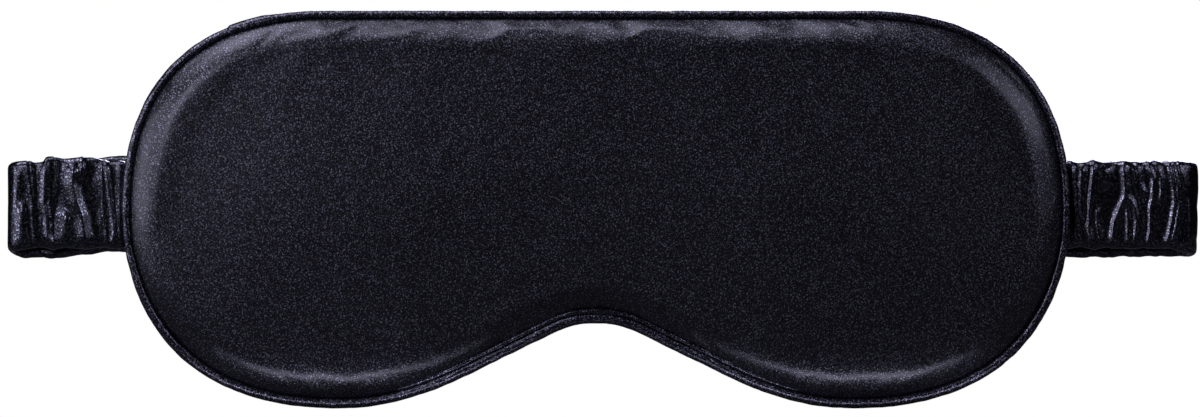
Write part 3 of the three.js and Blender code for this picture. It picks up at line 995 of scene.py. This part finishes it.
# %% The gather tree
GATHER_SIZES = {
    "Gather spacing": ("Float", 3.4 * MM),
    "Gather run": ("Float", 16.0 * MM),
    "Gather depth": ("Float", 0.95 * MM),
    "Waviness": ("Float", 0.35),
    "Seed": ("Float", 12.0),
}
gather_group, size_of, leave = node_group("gather_cloth", GATHER_SIZES)
tree = gather_group
cloth_place, freedom_here, laid_here = [
    put(tree, "GeometryNodeInputNamedAttribute", {"data_type": kind}, Name=label)
    for label, kind in (("cloth_place", "FLOAT_VECTOR"), ("freedom", "FLOAT"), ("laid_fold", "FLOAT"))
]
seeded = {"W": size_of["Seed"], "Detail": 1.0}
along, across, through = put(tree, "ShaderNodeSeparateXYZ", _0=cloth_place).outputs
wobble = put(tree, NOISE, {"noise_dimensions": "4D"}, Vector=cloth_place, Scale=90.0, **seeded)
off_middle = put(tree, MATHS, {"operation": "SUBTRACT"}, _0=wobble, _1=0.5)
bent = put(tree, MATHS, {"operation": "MULTIPLY"}, _0=off_middle, _1=size_of["Waviness"])
folds_along = put(tree, MATHS, {"operation": "DIVIDE"}, _0=along, _1=size_of["Gather spacing"])
squeezed = put(
    tree, "ShaderNodeCombineXYZ",
    X=put(tree, MATHS, {"operation": "MULTIPLY_ADD"}, _0=bent, _1=4.0, _2=folds_along),
    Y=put(tree, MATHS, {"operation": "DIVIDE"}, _0=across, _1=size_of["Gather run"]),
    Z=put(tree, MATHS, {"operation": "DIVIDE"}, _0=through, _1=size_of["Gather spacing"]),
)
creases = put(
    tree, NOISE, {"noise_dimensions": "4D"}, Vector=squeezed, Scale=1.0, Roughness=0.4, **seeded,
)
off_crease = put(tree, MATHS, {"operation": "SUBTRACT"}, _0=creases, _1=0.5)
away = put(tree, MATHS, {"operation": "ABSOLUTE"}, _0=off_crease)
steep = put(tree, MATHS, {"operation": "MULTIPLY"}, _0=away, _1=4.5)
capped = put(tree, MATHS, {"operation": "MINIMUM"}, _0=steep, _1=1.0)
puffs = put(tree, MATHS, {"operation": "POWER"}, _0=capped, _1=0.6)
free = put(tree, MATHS, {"operation": "MULTIPLY"}, _0=freedom_here, _1=size_of["Gather depth"])
raised = put(tree, MATHS, {"operation": "MULTIPLY_ADD"}, _0=puffs, _1=free, _2=laid_here)
outward = put(tree, "GeometryNodeInputNormal")
push = put(tree, "ShaderNodeVectorMath", {"operation": "SCALE"}, _0=outward, Scale=raised)
gathered = put(tree, "GeometryNodeSetPosition", Geometry=size_of["Geometry"], Offset=push)
close_tree(tree, gathered, leave, band_satin)

# %% A flat tube laid along the path
SIDE_STEPS, END_STEPS = 36, 6
INNER_SETTLE = 0.5  # mm that the inner side sinks into the tube, so the folded layers stay apart
OUT_SIGN = -1.0  # turns the path's side direction to the outside of the loop


def laid_share(at):
    """Laid folds lie on the runs and round the end folds, not on the cloth behind."""
    return float(ease(36, 30, min(abs(at), band_stops[-1] - at)))


def tube_section(half_height, half_thick):
    """Points round a flattened tube, as (up, outward), starting at the bottom of the outer side."""
    flat = half_height - half_thick
    turn = np.linspace(0, math.pi, END_STEPS + 2)[1:-1]
    bulge = half_thick * np.sin(turn)
    ups = np.concatenate([
        np.linspace(-flat, flat, SIDE_STEPS), flat + bulge,
        np.linspace(flat, -flat, SIDE_STEPS), -flat - bulge,
    ])
    outs = np.concatenate([
        np.full(SIDE_STEPS, half_thick), half_thick * np.cos(turn),
        np.full(SIDE_STEPS, -half_thick), -half_thick * np.cos(turn),
    ])
    return ups, outs


def tube_faces(rings, around):
    faces = []
    for i in range(rings - 1):
        a, b = i * around, (i + 1) * around
        faces += [(a + k, a + (k + 1) % around, b + (k + 1) % around, b + k) for k in range(around)]
    return faces


def lay_tube(name, line, tangents, along, half_heights, sway, half_thick, freedom_of, folds=()):
    points, places, freedom, laid, settled = [], [], [], [], []
    for i in range(len(line)):
        ups, outs = tube_section(half_heights[i], half_thick[i])
        normal = np.array([tangents[i][1], -tangents[i][0]]) * OUT_SIGN
        spot = line[i][None, :] + outs[:, None] * normal
        z = ups + sway[i]
        points.append(np.column_stack([spot, z]))
        places.append(np.column_stack([np.full(len(ups), along[i]), ups, outs * 2.2]))
        near_edge = 0.4 + 0.6 * ease(half_heights[i], half_heights[i] - 2.5, np.abs(ups))
        freedom.append(freedom_of(along[i], outs, half_thick[i]) * near_edge)
        laid.append(ease(-0.7, 0.6, outs / half_thick[i]) * near_edge * laid_share(along[i]))
        settled.append(-INNER_SETTLE * np.clip(-2 * outs / half_thick[i], 0, 1) * near_edge)
    around = len(points[0])
    points = np.vstack(points)
    tube = new_piece(name, points, tube_faces(len(line), around), band_satin)
    heights = np.concatenate(settled)
    if folds:
        heights = heights + fold_heights(points[:, 0], points[:, 2], folds) * np.concatenate(laid)
    for label, kind, values in (
        ("cloth_place", "FLOAT_VECTOR", np.vstack(places) * MM),
        ("freedom", "FLOAT", np.concatenate(freedom)),
        ("laid_fold", "FLOAT", heights * MM),
    ):
        attribute = tube.data.attributes.new(label, kind, "POINT")
        attribute.data.foreach_set("vector" if kind == "FLOAT_VECTOR" else "value", values.ravel())
    return tube


def band_freedom(at, outs, thick):
    """Full gathers on the open side, less where laid folds lie or the mask is close."""
    near_root = min(at, band_stops[-1] - at)
    on_run = float(ease(34, 27, near_root))
    outer = np.clip(outs / thick, -1, 1) * 0.5 + 0.5
    inner_room = 0.5 + 0.5 * outer
    return (1 - 0.8 * on_run * outer) * inner_room


# %% Gather the whole band, then cut it in three
BAND_HALF_THICK, BAND_CLOTH, MIDDLE_HALF = 1.2, 0.25, 60.0
whole_band = lay_tube(
    "band_cloth", band_line, band_tangent, band_along, HALF_H, SWAY,
    np.full(len(band_along), BAND_HALF_THICK), band_freedom, LEFT_FOLDS + RIGHT_FOLDS,
)
plain_mesh(add_nodes(whole_band, gather_group, GATHER_SIZES))
band_rings = (vertex_array(whole_band.data) / MM).reshape(len(band_along), -1, 3)
bpy.data.objects.remove(whole_band)


def band_part(name, first_mm, last_mm):
    """One length of the gathered cloth. Neighbours share their end ring, so no gap shows."""
    rings = band_rings[(band_along >= first_mm - 1e-6) & (band_along <= last_mm + 1e-6)]
    tube = new_piece(name, rings.reshape(-1, 3), tube_faces(len(rings), rings.shape[1]), band_satin)
    return thicken(tube, BAND_CLOTH)


def nearest_ring(x_mm):
    wanted = band_stops[2] + x_mm - LEFT_FOLD_X
    return band_along[np.argmin(np.abs(band_along - wanted))]


middle_start, middle_end = nearest_ring(-MIDDLE_HALF), nearest_ring(MIDDLE_HALF)
sleeve_left = band_part("headband_sleeve_left", 0, middle_start)
sleeve_middle = band_part("headband_sleeve_middle", middle_start, middle_end)
sleeve_right = band_part("headband_sleeve_right", middle_end, band_stops[-1])
print("Sleeve faces:", [len(p.data.polygons) for p in (sleeve_left, sleeve_middle, sleeve_right)])

# %% [markdown]
# ## Roots of the band
#
# Each end of the tube is sewn in between the panels. Just outside the seam the satin bunches up, and
# that small roll hides the turning line of the band. It is a short tube on the mask, closed by a roll.

# %% Roots
ROLL_R, ROOT_HALF_H, ROOT_SWAY, ROOT_FREEDOM = 1.25, 9.75, 0.6, 0.3
root_pieces = {}
for side, sign in (("left", -1), ("right", 1)):
    reach = np.linspace(101.8, PIVOT_X + 0.9, 20)
    every = np.ones(len(reach))
    line = np.column_stack([sign * reach, RUN_Y * every])
    tangents = np.column_stack([-every, 0 * every])
    thick = 1.0 + 0.25 * ease(106.5, 108.8, reach)
    roll = np.sqrt(np.maximum(ROLL_R ** 2 - (reach - PIVOT_X) ** 2, 0.3))
    thick = np.where(reach > PIVOT_X, roll, thick)
    root = lay_tube(
        "headband_root_" + side, line, tangents, reach * sign, ROOT_HALF_H * every, ROOT_SWAY * every,
        thick, lambda at, outs, half_thick: np.full(len(outs), ROOT_FREEDOM),
    )
    if sign > 0:
        root.data.flip_normals()
    root_pieces[side] = thicken(plain_mesh(add_nodes(root, gather_group, GATHER_SIZES)), BAND_CLOTH)
print("Root faces:", [len(p.data.polygons) for p in root_pieces.values()])

# %% [markdown]
# ## Elastic
#
# The elastic is one flat ribbed ribbon in the middle of the tube. It could be a plain strip, but a real
# one has lengthwise ribs of rubber, so its section has them, and it follows the same path and the same
# three lengths as the satin. It starts clear of the rolls at the seams, and the lengths don't touch.

# %% Elastic
ELASTIC_WIDTH, RIB_PITCH, RIB_HEIGHT, RIB_POINTS = 18.2, 3.2, 0.04, 13
ROLL_CLEARANCE, CUT_GAP = 1.5, 0.15


def elastic_part(name, first_mm, last_mm):
    keep = (band_along >= first_mm) & (band_along <= last_mm)
    normal = np.column_stack([band_tangent[keep][:, 1], -band_tangent[keep][:, 0]]) * OUT_SIGN
    ribs = np.linspace(-ELASTIC_WIDTH / 2, ELASTIC_WIDTH / 2, RIB_POINTS)
    points = []
    line = band_line[keep]
    around = 2 * len(ribs)
    for spot, out_way, rise in zip(line, normal, SWAY[keep]):
        for side_sign, heights in ((1, ribs), (-1, ribs[::-1])):
            for z in heights:
                swell = 0.4 + RIB_HEIGHT * math.cos(z * 2 * math.pi / RIB_PITCH)
                points.append((*(spot + out_way * swell * side_sign), z + rise))
    faces = tube_faces(len(line), around)
    faces.append(tuple(reversed(range(around))))
    last = (len(line) - 1) * around
    faces.append(tuple(last + k for k in range(around)))
    return new_piece(name, points, faces, elastic_weave)


elastic_left = elastic_part("elastic_left", ROLL_CLEARANCE, middle_start - CUT_GAP)
elastic_middle = elastic_part("elastic_middle", middle_start + CUT_GAP, middle_end - CUT_GAP)
elastic_right = elastic_part("elastic_right", middle_end + CUT_GAP, band_stops[-1] - ROLL_CLEARANCE)
print("Elastic faces:", [len(p.data.polygons) for p in (elastic_left, elastic_middle, elastic_right)])

# %% [markdown]
# ## Which body each piece moves with
#
# The pad rides on the mask body. The band is one length of cloth over four moving bodies. Its three
# pieces, round the left fold, across the middle and round the right fold, are only baked in place here.

# %% Pieces that ride on the mask
for piece, slot, nodes in (
    (front_panel, "panel_satin", ["front_panel"]),
    (back_panel, "panel_satin", ["back_panel"]),
    (wadding, "wadding", ["wadding"]),
    (blackout, "blackout_cloth", ["blackout_interlining"]),
    (piping, "piping_satin", ["piping_sleeve"]),
    (filler_cord, "filler_cord", ["piping_cord"]),
    (edge_seam, "sewing_thread", ["edge_seam_thread"]),
    (tacks["left"], "sewing_thread", ["band_tack_left"]),
    (tacks["right"], "sewing_thread", ["band_tack_right"]),
    (root_pieces["left"], "headband_satin", ["sleeve_end_left", "elastic_end_left"]),
    (root_pieces["right"], "headband_satin", ["sleeve_end_right", "elastic_end_right"]),
):
    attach(piece, "mask")
    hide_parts(*nodes)

# %% The band and elastic lengths, baked in place
BEND_FROM, BEND_TO = -1.1 * MM, 0.45 * MM
MIDDLE_BEND = 52.0 * MM
for sleeve, elastic, bodies, start, end in (
    (sleeve_left, elastic_left, ("run_left", "back_left"), (0, BEND_FROM, 0), (0, BEND_TO, 0)),
    (
        sleeve_middle, elastic_middle, ("back_left", "back_right"),
        (-MIDDLE_BEND, 0, 0), (MIDDLE_BEND, 0, 0),
    ),
    (sleeve_right, elastic_right, ("back_right", "run_right"), (0, BEND_TO, 0), (0, BEND_FROM, 0)),
):
    for piece, slot in ((sleeve, "headband_satin"), (elastic, "elastic")):
        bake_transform(piece)

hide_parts("sleeve_run_left", "sleeve_fold_left", "sleeve_back_left")
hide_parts("sleeve_run_right", "sleeve_fold_right", "sleeve_back_right")
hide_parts("elastic_run_left", "elastic_fold_left", "elastic_back_left")
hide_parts("elastic_run_right", "elastic_fold_right", "elastic_back_right")

# %% [markdown]
# ## What each cloth was cut to
#
# A sheet of cloth is declared with the size it was cut to. The panels are the outline with a seam
# allowance. The headband tube was cut longer than it now is, and gathered, and the elastic and the bias
# strip were cut straight. The blackout layer is the outline less a margin that stays out of the seam.

# %% Sheets and the padded piece
x, z = EDGE[:, 0], EDGE[:, 1]
